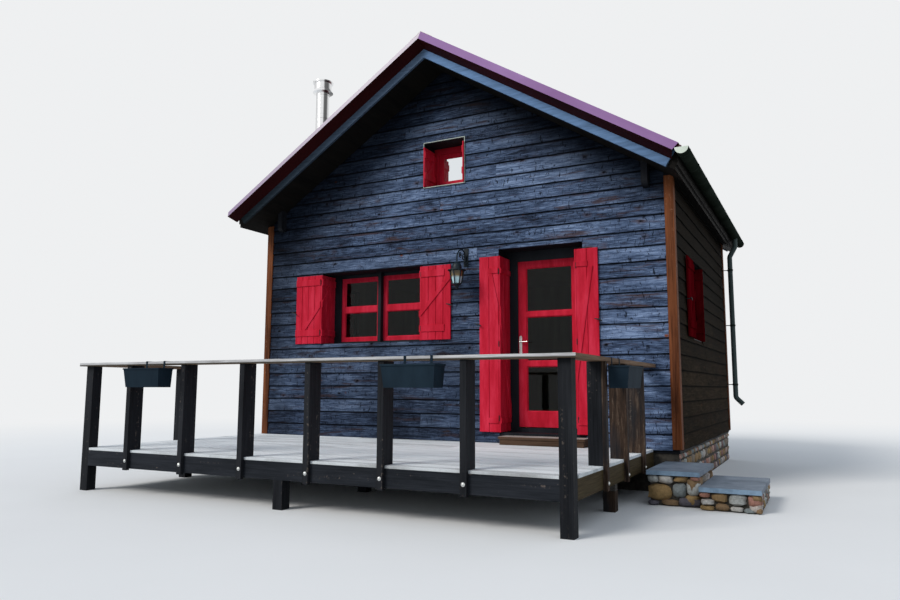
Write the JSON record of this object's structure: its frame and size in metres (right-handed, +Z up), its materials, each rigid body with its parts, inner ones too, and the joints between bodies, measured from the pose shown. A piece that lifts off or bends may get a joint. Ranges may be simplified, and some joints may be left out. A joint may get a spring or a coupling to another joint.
{
  "type": "wooden chalet",
  "caption": "Timber chalet with a metal gable roof, folding shutters, a glazed door that opens inwards, and a raised deck with a plank railing and stone steps.",
  "frame": {"origin": "on the ground, under the middle of the whole", "axes": "+X to the right along the front wall, +Y into the house from the deck, +Z up"},
  "size_m": [7.3522, 8.579, 6.212],
  "materials": {
    "masonry": "rough stone",
    "slate": "rough stone",
    "soil": "matt",
    "floor_timber": "matt",
    "wall_timber": "stained",
    "corner_timber": "stained",
    "aged_timber": "weathered",
    "roof_timber": "matt",
    "stained_timber": "stained",
    "dark_timber": "stained",
    "grey_timber": "weathered",
    "rail_timber": "weathered",
    "step_timber": "worn",
    "roof_metal": "satin",
    "zinc": "satin",
    "stainless": "satin",
    "black_paint": "painted",
    "red_paint": "painted",
    "glass": "clear",
    "iron": "painted",
    "planter_metal": "satin"
  },
  "bodies": {
    "house": {"plinth": "masonry", "floors": "floor_timber", "front_wall_left": "wall_timber", "front_wall_right": "wall_timber", "front_gable": "wall_timber", "back_wall": "wall_timber", "right_wall": "wall_timber", "left_wall": "wall_timber", "corner_boards": "corner_timber", "wall_plates": "aged_timber", "ridge_beam": "aged_timber", "roof_panels": "roof_timber", "roof_sheets": "roof_metal", "fascia_boards": "stained_timber", "bargeboards": "stained_timber", "verge_flashings": "roof_metal", "ridge_cap": "roof_metal", "gutter": "zinc", "downpipe": "zinc", "flue": "stainless", "flue_cowl": "stainless", "window_frames": "black_paint", "window_sashes": "red_paint", "window_panes": "glass", "window_shutters": "red_paint", "door_shutters": "red_paint", "door_frame": "black_paint", "door_sill": "black_paint", "door_hinge_pins": "iron", "deck_boards": "grey_timber", "deck_rim": "dark_timber", "deck_joists": "aged_timber", "deck_ledger": "aged_timber", "deck_bearer": "aged_timber", "deck_legs": "dark_timber", "corner_posts": "dark_timber", "rail_posts": "dark_timber", "handrails": "rail_timber", "door_step": "step_timber", "planters": "planter_metal", "planter_soil": "soil", "wall_lantern": "iron", "step_masonry": "masonry", "step_slabs": "slate"},
    "door": {"door_leaf": "red_paint", "door_panes": "glass", "door_handle": "stainless", "door_hinge_straps": "iron"}
  },
  "joints": [
    {"name": "door_hinge", "type": "hinge", "parent": "house", "child": "door", "pos_m": [1.53957, -0.666, 1.7], "axis": [0, 0, -1], "range_deg": [0, 95]}
  ]
}
